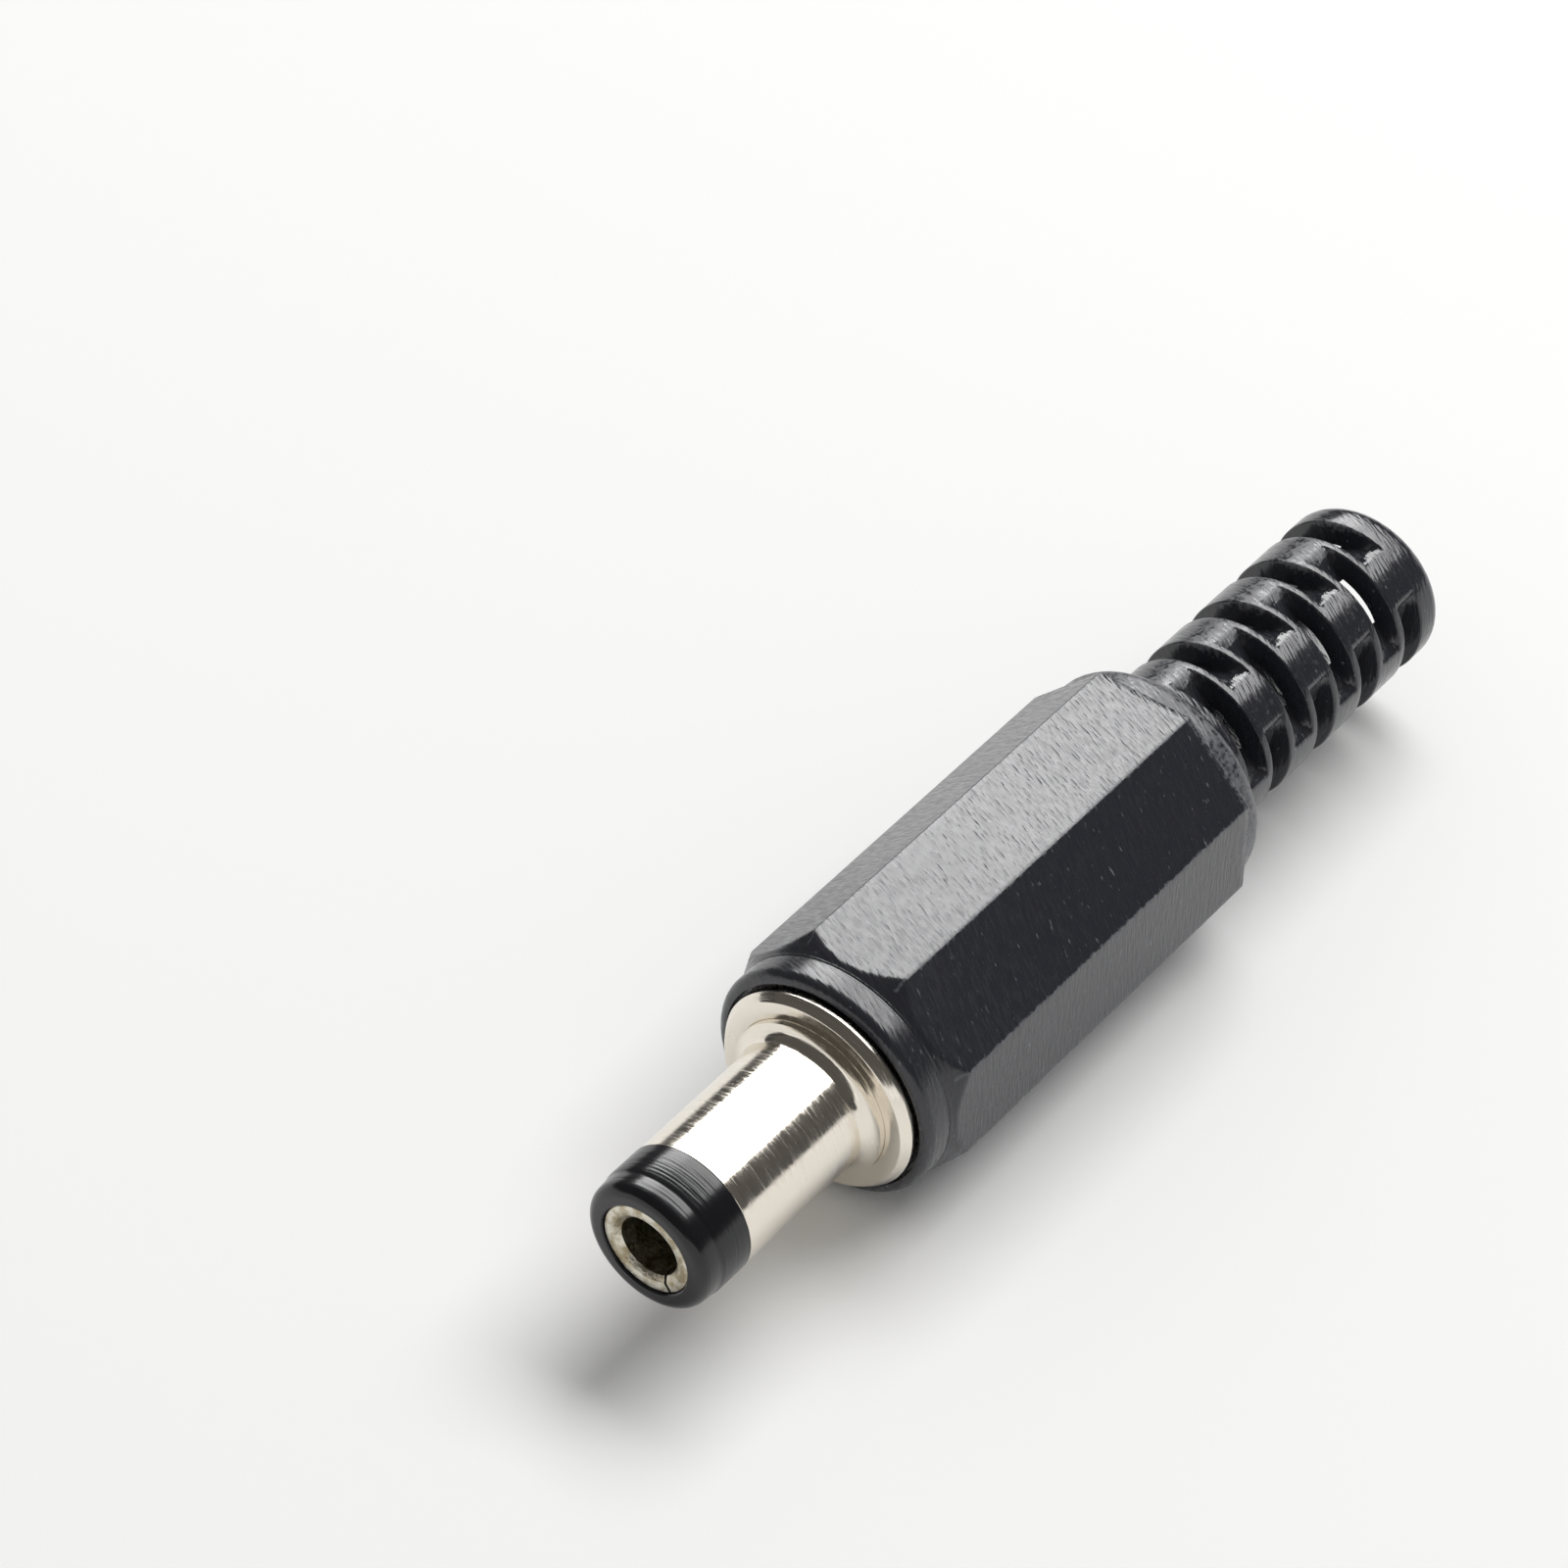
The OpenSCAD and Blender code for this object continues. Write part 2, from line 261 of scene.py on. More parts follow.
def moulded_nylon():
    """Black nylon from a well-used mould: satin, scuffed round the plug, grey on edges from
    rubbing, and on the ribs also as a painted highlight.
    """
    material, tree, shader = new_material("moulded_nylon_black", IOR=1.6)
    # mould scuffs run round the plug, a little askew. They are drawn 0.1 mm wide and 0.7 mm
    # long, because real ones, a few hundredths wide, would not show
    scuffs = add(tree, "ShaderNodeTexNoise",
                 {"Vector": object_coords(tree, per_mm=(9, 1.4, 1.4), turn=(0, 0, 0.37)),
                  "Scale": 1.0, "Detail": 1.0, "Roughness": 0.5})
    # handling scratches are sparse, 0.1 mm wide and up to 0.4 mm long, and lie askew
    nicks = add(tree, "ShaderNodeTexNoise",
                {"Vector": object_coords(tree, per_mm=(9, 2.4, 2.4), turn=(0.3, 0.1, 0.15)),
                 "Scale": 1.0, "Detail": 1.0})
    scratch = add(tree, "ShaderNodeMapRange",
                  {"Value": nicks.outputs["Fac"], "From Min": 0.705, "From Max": 0.765})
    # the mould's grain has patches of 0.2 mm, which also break up the edges' rubbing and the
    # ribs' painted highlight
    patches = add(tree, "ShaderNodeTexNoise",
                  {"Vector": object_coords(tree), "Scale": 4.5, "Detail": 4.0})
    worn_and_highlight = add(tree, "ShaderNodeMath",
               {0: add(tree, "ShaderNodeAttribute", attribute_name="wear_and_highlight").outputs["Fac"],
                1: patches.outputs["Fac"]}, operation="MULTIPLY")
    rubbed_and_highlight = add(tree, "ShaderNodeMapRange",
                 {"Value": worn_and_highlight.outputs[0], "From Min": 0.35, "From Max": 0.6})
    marked = add(tree, "ShaderNodeMath",
                 {0: scratch.outputs[0], 1: rubbed_and_highlight.outputs[0]}, operation="MAXIMUM")
    # lighter grey for scratches and rubbing, and on the tail's ribs also a painted highlight,
    # lightest on the top side
    colour = add(tree, "ShaderNodeMix",
                 {"Factor": marked.outputs[0], "A": srgb("25262c"), "B": srgb("5c5d62")},
                 data_type="RGBA")
    tree.links.new(colour.outputs["Result"], shader.inputs["Base Color"])
    rough = add(tree, "ShaderNodeMapRange",
                {"Value": scuffs.outputs["Fac"], "From Min": 0.3, "From Max": 0.7,
                 "To Min": 0.12, "To Max": 0.27})
    # the front of the grip is handled most, so it is a little duller
    station = add(tree, "ShaderNodeSeparateXYZ", {0: object_coords(tree)}).outputs["X"]
    handled = add(tree, "ShaderNodeMapRange",
                  {"Value": station, "From Min": -12.0, "From Max": -2.0, "To Max": 0.07},
                  interpolation_type="SMOOTHSTEP")
    dulled = add(tree, "ShaderNodeMath", {0: rough.outputs[0], 1: handled.outputs[0]})
    matted = add(tree, "ShaderNodeMath",
                 {0: rubbed_and_highlight.outputs[0], 1: 0.26, 2: dulled.outputs[0]}, operation="MULTIPLY_ADD")
    tree.links.new(matted.outputs[0], shader.inputs["Roughness"])
    dents = add(tree, "ShaderNodeBump",
                {"Height": patches.outputs["Fac"], "Strength": 0.3, "Distance": 0.012 * MM})
    streaks = add(tree, "ShaderNodeBump",
                  {"Height": scuffs.outputs["Fac"], "Strength": 0.8, "Distance": 0.024 * MM,
                   "Normal": dents.outputs["Normal"]})
    tree.links.new(streaks.outputs["Normal"], shader.inputs["Normal"])
    return material


def turned_acetal():
    """Black acetal turned on a lathe: satin, with fine rings round the axis.

    The rings are drawn 0.1 mm wide. Real ones are half that and would not show.
    """
    material, tree, shader = new_material(
        "turned_acetal_black", Base_Color=srgb("141417"), Roughness=0.2, IOR=1.5)
    rings = add(tree, "ShaderNodeTexNoise",
                {"Vector": object_coords(tree, per_mm=(9, 0.3, 0.3)), "Scale": 1.0,
                 "Detail": 2.0})
    bump = add(tree, "ShaderNodeBump",
               {"Height": rings.outputs["Fac"], "Strength": 0.9, "Distance": 0.018 * MM})
    tree.links.new(bump.outputs["Normal"], shader.inputs["Normal"])
    return material


def nickel_plate():
    """Bright nickel over turned brass: near mirror, with faint turning marks 0.07 mm wide."""
    material, tree, shader = new_material(
        "nickel_plate_turned", Base_Color=srgb("ebe4d8"), Metallic=1.0)
    marks = add(tree, "ShaderNodeTexNoise",
                {"Vector": object_coords(tree, per_mm=(14, 0.9, 0.9)), "Scale": 1.0,
                 "Detail": 3.0, "Roughness": 0.7})
    rough = add(tree, "ShaderNodeMapRange",
                {"Value": marks.outputs["Fac"], "From Min": 0.4, "From Max": 0.7,
                 "To Min": 0.08, "To Max": 0.3})
    tree.links.new(rough.outputs["Result"], shader.inputs["Roughness"])
    bump = add(tree, "ShaderNodeBump",
               {"Height": marks.outputs["Fac"], "Strength": 0.8, "Distance": 0.006 * MM})
    tree.links.new(bump.outputs["Normal"], shader.inputs["Normal"])
    return material


def contact_tin():
    """Tin over rolled phosphor bronze: soft satin silver with a warm cast."""
    material, tree, shader = new_material(
        "tinned_bronze_contact", Metallic=1.0, Roughness=0.3)
    # the rolled sheet's grain, 0.15 mm across, ripples the coat
    grain = add(tree, "ShaderNodeTexNoise",
                {"Vector": object_coords(tree), "Scale": 7.0, "Detail": 3.0})
    # tarnish gathers in patches of about half a millimetre
    tarnish = add(tree, "ShaderNodeTexNoise",
                  {"Vector": object_coords(tree), "Scale": 2.2, "Detail": 3.0})
    dulled = add(tree, "ShaderNodeMapRange",
                 {"Value": tarnish.outputs["Fac"], "From Min": 0.42, "From Max": 0.62})
    colour = add(tree, "ShaderNodeMix",
                 {"Factor": dulled.outputs[0], "A": srgb("dcd7c8"), "B": srgb("a99c80")},
                 data_type="RGBA")
    tree.links.new(colour.outputs["Result"], shader.inputs["Base Color"])
    bump = add(tree, "ShaderNodeBump",
               {"Height": grain.outputs["Fac"], "Strength": 0.9, "Distance": 0.04 * MM})
    tree.links.new(bump.outputs["Normal"], shader.inputs["Normal"])
    return material


def tinned_sheet():
    """Tinned brass sheet, stamped: pale satin metal with a coat mottled every half millimetre."""
    material, tree, shader = new_material(
        "tinned_sheet_stamped", Base_Color=srgb("d6d3ca"), Metallic=1.0)
    mottle = add(tree, "ShaderNodeTexNoise",
                 {"Vector": object_coords(tree), "Scale": 1.8, "Detail": 4.0})
    rough = add(tree, "ShaderNodeMapRange",
                {"Value": mottle.outputs["Fac"], "To Min": 0.2, "To Max": 0.42})
    tree.links.new(rough.outputs["Result"], shader.inputs["Roughness"])
    return material


def natural_nylon():
    """Uncoloured nylon: milky, matte and slightly see-through."""
    return new_material("natural_nylon_bush", Base_Color=srgb("d8d0bc"), Roughness=0.5,
                        Subsurface_Weight=0.2, Subsurface_Scale=0.4 * MM)[0]


# ---------------------------------------------------------------- mesh helpers

def linked(name, data):
    """A new object of this data, in the scene."""
    thing = bpy.data.objects.new(name, data)
    bpy.context.scene.collection.objects.link(thing)
    return thing


def smooth_min(a, b, width):
    """The smaller of two lengths, blended over a width where they are close."""
    h = np.clip(0.5 + 0.5 * (b - a) / width, 0, 1)
    return b * (1 - h) + a * h - width * h * (1 - h)


def finished(name, vertices_mm, faces, material, smooth_angle=35, wear_and_highlight=None):
    """A mesh object in metres at the origin, welded, facing outwards and evenly shaded."""
    mesh = bpy.data.meshes.new(name)
    mesh.from_pydata([tuple(v) for v in vertices_mm], [], faces)
    if wear_and_highlight is not None:
        mesh.attributes.new("wear_and_highlight", "FLOAT", "POINT").data.foreach_set("value", wear_and_highlight)
    work = bmesh.new()
    work.from_mesh(mesh)
    bmesh.ops.remove_doubles(work, verts=work.verts, dist=WELD)
    bmesh.ops.dissolve_degenerate(work, edges=work.edges, dist=SLIVER)
    bmesh.ops.recalc_face_normals(work, faces=work.faces)
    work.to_mesh(mesh)
    work.free()
    mesh.transform(Matrix.Scale(MM, 4))
    mesh.shade_smooth()
    mesh.set_sharp_from_angle(angle=math.radians(smooth_angle))
    mesh.materials.append(material)
    return linked(name, mesh)


def lathe_points(rows, angles):
    """Points of rows of (x, r) at each angle about the axis; an r may be one for each angle."""
    x = np.array([np.full(len(angles), row[0]) for row in rows])
    r = np.array([np.broadcast_to(row[1], len(angles)) for row in rows])
    return x, r, np.stack([x, r * np.cos(angles), r * np.sin(angles)], axis=-1).reshape(-1, 3)


def grid_faces(rows, columns, skip=()):
    """Quads between rows and columns that both close on themselves, but for skipped cells."""
    faces = []
    for i in range(rows):
        for j in range(columns):
            if (i, j) in skip:
                continue
            ni, nj = (i + 1) % rows, (j + 1) % columns
            faces.append((i * columns + j, i * columns + nj, ni * columns + nj, ni * columns + j))
    return faces


def rounded(points):
    """A closed profile of (x, r, radius) with each corner rounded to its radius."""
    outline = []
    count = len(points)
    for i, (x, r, radius) in enumerate(points):
        here = Vector((x, r))
        before = Vector(points[i - 1][:2]) - here
        after = Vector(points[(i + 1) % count][:2]) - here
        before.normalize()
        after.normalize()
        half = math.acos(max(-1, min(1, before.dot(after)))) / 2
        reach = radius / math.tan(half)
        centre = here + (before + after).normalized() * radius / math.sin(half)
        start, end = here + before * reach, here + after * reach
        for k in range(ROUND_STEPS + 1):
            point = start.lerp(end, k / ROUND_STEPS) - centre
            outline.append(tuple(centre + point.normalized() * radius))
    return outline


def turned(name, profile, material):
    """A solid of revolution about the axis from a closed profile."""
    angles = np.linspace(0, 2 * math.pi, TURNED_COLUMNS, endpoint=False)
    points = lathe_points(profile, angles)[2]
    return finished(name, points, grid_faces(len(profile), TURNED_COLUMNS), material)


# ---------------------------------------------------------------- screw thread

def thread_tree(material):
    """Geometry Nodes: presses a screw thread into the points of a round wall."""
    tree = bpy.data.node_groups.new("screw_thread", "GeometryNodeTree")
    sockets = tree.interface
    sockets.new_socket("Geometry", in_out="INPUT", socket_type="NodeSocketGeometry")
    for name in ("Pitch", "Depth", "Wall Radius", "Low X", "High X"):
        sockets.new_socket(name, in_out="INPUT", socket_type="NodeSocketFloat")
    sockets.new_socket("Geometry", in_out="OUTPUT", socket_type="NodeSocketGeometry")
    size = add(tree, "NodeGroupInput").outputs
    place = add(tree, "GeometryNodeInputPosition").outputs[0]
    x, y, z = add(tree, "ShaderNodeSeparateXYZ", {0: place}).outputs
    spoke = add(tree, "ShaderNodeCombineXYZ", {1: y, 2: z}).outputs[0]
    # how far round the helix each point is, in turns: X over the pitch, less the turn about X
    angle = add(tree, "ShaderNodeMath", {0: z, 1: y}, operation="ARCTAN2").outputs[0]
    along = add(tree, "ShaderNodeMath", {0: x, 1: size["Pitch"]}, operation="DIVIDE").outputs[0]
    turns = add(tree, "ShaderNodeMath", {0: angle, 1: -0.5 / math.pi, 2: along},
                operation="MULTIPLY_ADD").outputs[0]
    # a wave that runs 0, 1, 0 over one pitch, with an eighth of a pitch flat at crest and root
    wave = add(tree, "ShaderNodeMath", {0: turns, 1: 0.5}, operation="PINGPONG").outputs[0]
    ridge = add(tree, "ShaderNodeMapRange",
                {"Value": wave, "From Min": 0.0625, "From Max": 0.4375}).outputs[0]
    # the thread runs out within one pitch of either end
    from_low = add(tree, "ShaderNodeMath", {0: x, 1: size["Low X"]},
                   operation="SUBTRACT").outputs[0]
    from_high = add(tree, "ShaderNodeMath", {0: size["High X"], 1: x},
                    operation="SUBTRACT").outputs[0]
    nearest = add(tree, "ShaderNodeMath", {0: from_low, 1: from_high},
                  operation="MINIMUM").outputs[0]
    fade = add(tree, "ShaderNodeMapRange",
               {"Value": nearest, "From Max": size["Pitch"]}).outputs[0]
    faded = add(tree, "ShaderNodeMath", {0: ridge, 1: fade}, operation="MULTIPLY").outputs[0]
    cut = add(tree, "ShaderNodeMath", {0: faded, 1: size["Depth"]},
              operation="MULTIPLY").outputs[0]
    outwards = add(tree, "ShaderNodeVectorMath", {0: spoke}, operation="NORMALIZE").outputs[0]
    offset = add(tree, "ShaderNodeVectorMath", {0: outwards, "Scale": cut},
                 operation="SCALE").outputs[0]
    radius = add(tree, "ShaderNodeVectorMath", {0: spoke}, operation="LENGTH").outputs["Value"]
    on_wall = add(tree, "FunctionNodeCompare",
                  {0: radius, 1: size["Wall Radius"], "Epsilon": WALL_TOLERANCE * MM},
                  data_type="FLOAT", operation="EQUAL").outputs[0]
    between = add(tree, "FunctionNodeCompare", {0: nearest, 1: 0.0},
                  data_type="FLOAT", operation="GREATER_THAN").outputs[0]
    chosen = add(tree, "FunctionNodeBooleanMath", {0: on_wall, 1: between}).outputs[0]
    moved = add(tree, "GeometryNodeSetPosition",
                {"Geometry": size["Geometry"], "Selection": chosen, "Offset": offset})
    plain = add(tree, "GeometryNodeRealizeInstances", {"Geometry": moved.outputs[0]})
    dressed = add(tree, "GeometryNodeSetMaterial",
                  {"Geometry": plain.outputs[0], "Material": material})
    add(tree, "NodeGroupOutput", {"Geometry": dressed.outputs[0]})
    return tree


def threaded(name, rough, material, depth, wall_r, low_x):
    """A plain mesh object: the rough one with a thread pressed into its round wall.

    A negative depth goes inwards, as a groove in the shank and as a ridge in the bore.
    """
    tree = thread_tree(material)
    cutter = rough.modifiers.new("screw_thread", "NODES")
    cutter.node_group = tree
    sizes = {"Pitch": THREAD_PITCH * MM, "Depth": depth * MM, "Wall Radius": wall_r * MM,
             "Low X": low_x * MM, "High X": THREAD_FRONT_X * MM}
    for item in tree.interface.items_tree:
        if item.in_out == "INPUT" and item.name in sizes:
            cutter[item.identifier] = sizes[item.name]
    graph = bpy.context.evaluated_depsgraph_get()
    mesh = bpy.data.meshes.new_from_object(rough.evaluated_get(graph))
    mesh.name = name
    bpy.data.objects.remove(rough)
    return linked(name, mesh)


# ---------------------------------------------------------------- cover

SHOULDER_R = GRIP_FLAT - SHOULDER_STEP
NOSE_R = GRIP_FLAT - NOSE_STEP
GRIP_FRONT_X = NOSE_X - NOSE_LENGTH
GRIP_REAR_X = GRIP_FRONT_X - GRIP_LENGTH
SHOULDER_REAR_X = GRIP_REAR_X - SHOULDER_LENGTH
FIRST_SLOT_X = SHOULDER_REAR_X - SLOT_SETBACK
RECESS_X = NOSE_X - RECESS_DEPTH
THREAD_REAR_X = RECESS_X - THREAD_BORE_LENGTH
HOLLOW_REAR_X = THREAD_REAR_X - HOLLOW_LENGTH
CABLE_BORE_X = HOLLOW_REAR_X - CONE_LENGTH

# half the turn that one side of the octagon spans, where the flat ends and the rounding of
# the long edge starts, and the turn that the rounding takes up on either side of its corner
HALF_SIDE = math.pi / 8
EDGE_START = (GRIP_FLAT - GRIP_EDGE_ROUND) * math.tan(HALF_SIDE)
EDGE_SPREAD = HALF_SIDE - math.atan(EDGE_START / GRIP_FLAT)


def slots():
    """Every slot pair as (middle station, spreads, direction in radians)."""
    listed = []
    for i in range(SLOT_COUNT):
        listed.append((FIRST_SLOT_X - i * SLOT_PITCH, SHALLOW_SPREAD, math.radians(SLOT_TURN)))
        listed.append((FIRST_SLOT_X - (i + 0.5) * SLOT_PITCH, DEEP_SPREAD,
                       math.radians(SLOT_TURN + 90)))
    return listed


def floor_radius(away, spreads):
    """Radius of a slot's sloping floor at each angle off the slot's direction."""
    outer, inner = [radius * np.array((math.cos(math.radians(spread)),
                                       math.sin(math.radians(spread))))
                    for radius, spread in zip((TAIL_R, CABLE_R), spreads)]
    along = (outer - inner) / np.linalg.norm(outer - inner)
    square = np.array((along[1], -along[0]))
    facing = square[0] * np.cos(away) + square[1] * np.sin(away)
    return square @ outer / np.maximum(facing, 1e-6)


def off_direction(angles, direction):
    """Angle between each turn and a slot direction or its opposite, within a quarter turn."""
    return np.abs((angles - direction + math.pi / 2) % math.pi - math.pi / 2)


def cover_columns():
    """Turns of the cover's columns: even, with lines on the grip's edges and the slots' ends."""
    lines = []
    reach = math.degrees(EDGE_SPREAD)
    for corner in np.arange(22.5, 360, 45):
        lines += [corner + reach * k for k in (-1, -0.5, 0, 0.5, 1)]
    for (outer, inner), direction in ((SHALLOW_SPREAD, SLOT_TURN), (DEEP_SPREAD, SLOT_TURN + 90)):
        for spread in (outer + COVER_COLUMN_STEP, outer, outer - COVER_COLUMN_STEP, inner):
            lines += [direction + side + sign * spread for side in (0, 180) for sign in (-1, 1)]
    lines = [line % 360 for line in lines]
    even = [turn for turn in np.arange(0, 360, COVER_COLUMN_STEP)
            if min(abs((turn - line + 180) % 360 - 180) for line in lines) > COVER_COLUMN_GAP]
    return np.radians(sorted(set(np.round(lines + even, 6))))


def off_corner(angles):
    """Angle between each turn and the nearest long edge of the grip."""
    return np.abs((angles % (2 * HALF_SIDE)) - HALF_SIDE)


def grip_radius(angles):
    """Radius of the octagon at each turn, with its long edges rounded."""
    off_edge = off_corner(angles)
    flat = GRIP_FLAT / np.cos(HALF_SIDE - off_edge)
    reach = (GRIP_FLAT - GRIP_EDGE_ROUND) / math.cos(HALF_SIDE)
    inside = GRIP_EDGE_ROUND ** 2 - (reach * np.sin(off_edge)) ** 2
    edge = reach * np.cos(off_edge) + np.sqrt(np.clip(inside, 0, None))
    return np.where(off_edge <= EDGE_SPREAD + 1e-9, edge, flat)


def arc_rows(x, r, radius, start, end, steps):
    """Points (x, r) of an arc, with angles from +X towards outwards, in degrees."""
    turns = np.radians(np.linspace(start, end, steps + 1))
    return [(x + radius * math.cos(t), r + radius * math.sin(t)) for t in turns]


def slot_rows(middle, spreads, direction, angles):
    """Rows across one slot pair: its rounded front edge, walls and floor, and its rear edge."""
    away = off_direction(angles, direction)
    soft = smooth_min(floor_radius(away, spreads), TAIL_R, SLOT_END_BLEND)
    past_end = away > math.radians(spreads[0] + SLOT_END_MARGIN)
    bottom = np.clip(np.where(past_end, TAIL_R, soft), CABLE_R, TAIL_R)
    bottom = np.where(away <= math.radians(spreads[1]) + 1e-6, CABLE_R, bottom)
    edge = np.minimum(RIB_ROUND, TAIL_R - bottom)
    front, rear = middle + SLOT_MOUTH / 2, middle - SLOT_MOUTH / 2
    rounding = [(RIB_ROUND * (1 - math.sin(t)), TAIL_R - edge * (1 - math.cos(t)))
                for t in RIB_ROUND_TURNS]
    rows = [(front + step, radii) for step, radii in rounding]
    rows += [(middle + SLOT_FLOOR / 2, bottom), (middle - SLOT_FLOOR / 2, bottom)]
    rows += [(rear - step, radii) for step, radii in reversed(rounding)]
    return rows


def cover_rows(angles):
    """Rows (station, radii) right round the cover's wall, and the rows of each slot floor."""
    octagon = grip_radius(angles)
    rows = arc_rows(NOSE_X - NOSE_ROUND, NOSE_R - NOSE_ROUND, NOSE_ROUND, 0, 90, steps=7)
    rows += [(GRIP_FRONT_X + ahead, NOSE_R - dip) for ahead, dip in NOSE_GROOVE]
    for back in np.linspace(0, CORNER_REACH, 21):
        cone = NOSE_R + back * CORNER_SLOPE
        rows.append((GRIP_FRONT_X - back, smooth_min(cone, octagon, CORNER_BLEND)))
    plain_front = GRIP_FRONT_X - 1.5
    plain_rear = GRIP_REAR_X + 0.4
    rows += [(x, octagon) for x in np.linspace(plain_front, plain_rear, 12)]
    for turn in np.radians((0, 30, 60, 90)):
        rows.append((GRIP_REAR_X + GRIP_REAR_ROUND * (1 - math.sin(turn)),
                     octagon - GRIP_REAR_ROUND * (1 - math.cos(turn))))
    rows.append((GRIP_REAR_X, SHOULDER_R))
    rows += arc_rows(SHOULDER_REAR_X + SHOULDER_ROUND, SHOULDER_R - SHOULDER_ROUND,
                     SHOULDER_ROUND, 90, 180, steps=8)
    rows += reversed(arc_rows(SHOULDER_REAR_X - TAIL_FILLET, TAIL_R + TAIL_FILLET,
                              TAIL_FILLET, 270, 360, steps=8))
    floors = {}
    for middle, spreads, direction in slots():
        floors[len(rows) + len(RIB_ROUND_TURNS)] = (spreads, direction)
        rows += slot_rows(middle, spreads, direction, angles)
    rows += arc_rows(TAIL_X + TAIL_ROUND, TAIL_R - TAIL_ROUND, TAIL_ROUND, 90, 180, steps=8)
    rows += [(TAIL_X, CABLE_R + CABLE_BEVEL), (TAIL_X + CABLE_BEVEL, CABLE_R)]
    for middle, spreads, direction in reversed(slots()):
        floors[len(rows)] = (spreads, direction)
        rows += [(middle - SLOT_FLOOR / 2, CABLE_R), (middle + SLOT_FLOOR / 2, CABLE_R)]
    rows += [(CABLE_BORE_X, CABLE_R), (HOLLOW_REAR_X, HOLLOW_R), (THREAD_REAR_X, HOLLOW_R)]
    bore_rows = int(THREAD_BORE_LENGTH / THREAD_PITCH * BORE_ROWS_PER_TURN)
    rows += [(x, THREAD_BORE_R) for x in np.linspace(THREAD_REAR_X, RECESS_X, bore_rows)]
    rows += [(RECESS_X, RECESS_R), (NOSE_X, RECESS_R)]
    return rows, floors


def cover_wear_and_highlight(x, r, angles):
    """How much rubbing each point shows, from 0 to 1: most on the grip's edges, shoulder and
    ribs; on the ribs it is also a painted highlight, strongest on the tail's top side.
    """
    off_edge = off_corner(angles) * GRIP_FLAT
    on_grip = (x < GRIP_FRONT_X - CLEAN_GRIP_FRONT) & (x > GRIP_REAR_X) & (r > SHOULDER_R)
    long_edges = np.where(on_grip, np.clip(1 - off_edge / LONG_EDGE_RUB, 0, 1), 0)
    rear_edge = np.where(r > SHOULDER_R - SHOULDER_STEP,
                         np.clip(1.0 - (x - GRIP_REAR_X) / REAR_EDGE_RUB, 0, 1), 0)
    on_tail = (x < SHOULDER_REAR_X) & (r > TAIL_R - RIB_RUB_AND_HIGHLIGHT) & (x > TAIL_X + CLEAN_TAIL_END)
    # the ribs get rubbing and a painted highlight a little all round, and fully within a fifth of
    # the spread of the lit top side
    most = np.clip(1.2 - np.abs(angles - RUBBED_AND_LIT_SIDE) / RUBBED_AND_LIT_SIDE_SPREAD, 0, 1)
    return np.maximum(np.maximum(long_edges, rear_edge), np.where(on_tail, 0.6 + 0.4 * most, 0))


def make_cover(material):
    """The cover: octagonal grip, round nose and shoulder, slotted tail, and threaded bore."""
    angles = cover_columns()
    rows, floors = cover_rows(angles)
    x, r, points = lathe_points(rows, angles)
    middles = (angles + np.roll(angles, -1)) / 2
    middles[-1] = (angles[-1] + angles[0] + 2 * math.pi) / 2
    open_cells = set()
    for row, (spreads, direction) in floors.items():
        inside = np.nonzero(off_direction(middles, direction) < math.radians(spreads[1]))[0]
        open_cells.update((row, column) for column in inside)
    faces = grid_faces(len(rows), len(angles), open_cells)
    rough = finished("cover_rough", points, faces, material, smooth_angle=40,
                     wear_and_highlight=cover_wear_and_highlight(x, r, angles).ravel())
    # the ridges in the bore are in step with the shank's grooves, and a little lower
    return threaded("cover_moulding", rough, material, THREAD_EASE - THREAD_DEPTH,
                    THREAD_BORE_R, THREAD_REAR_X)


# ---------------------------------------------------------------- turned insert

def make_sleeve(material):
    """The sleeve: barrel, hub with its hollow foot, bevelled collar and threaded shank."""
    front = SLEEVE_HIGH.x
    rear = SLEEVE_LOW.x
    foot = HUB_R - BARREL_R
    foot_x = HUB_HEIGHT + foot
    seat_x = rear + BUSH_SEAT_DEPTH
    profile = [(front, SLEEVE_BORE_R), (front, BARREL_R - BARREL_BEVEL),
               (front - BARREL_BEVEL, BARREL_R)]
    plain_front = front - 0.3
    plain_rear = foot_x + 0.2
    profile += [(x, BARREL_R) for x in np.linspace(plain_front, plain_rear, 10)]
    profile += reversed(arc_rows(foot_x, HUB_R, foot, 180, 270, steps=10))
    profile += rounded([(0, HUB_R, FOOT_EDGE),
                        (0, COLLAR_R - COLLAR_BEVEL_R, FACE_EDGE),
                        (-COLLAR_BEVEL_X, COLLAR_R, COLLAR_EDGE),
                        (-COLLAR_THICKNESS, COLLAR_R, COLLAR_EDGE),
                        (-COLLAR_THICKNESS, RUNOUT_R, RUNOUT_EDGE),
                        (THREAD_FRONT_X, RUNOUT_R, RUNOUT_EDGE)])
    shank_rows = int((THREAD_FRONT_X - rear) / THREAD_PITCH * SHANK_ROWS_PER_TURN)
    profile += [(x, SHANK_R)
                for x in np.linspace(THREAD_FRONT_X, rear + SHANK_BEVEL, shank_rows)]
    profile += [(rear, SHANK_R - SHANK_BEVEL), (rear, BUSH_SEAT_R), (seat_x, BUSH_SEAT_R),
                (seat_x, SLEEVE_BORE_R)]
    rough = turned("sleeve_rough", profile, material)
    # the thread doesn't run out at the shank's rear end
    return threaded("sleeve_turned", rough, material, -THREAD_DEPTH, SHANK_R,
                    rear - THREAD_PITCH)


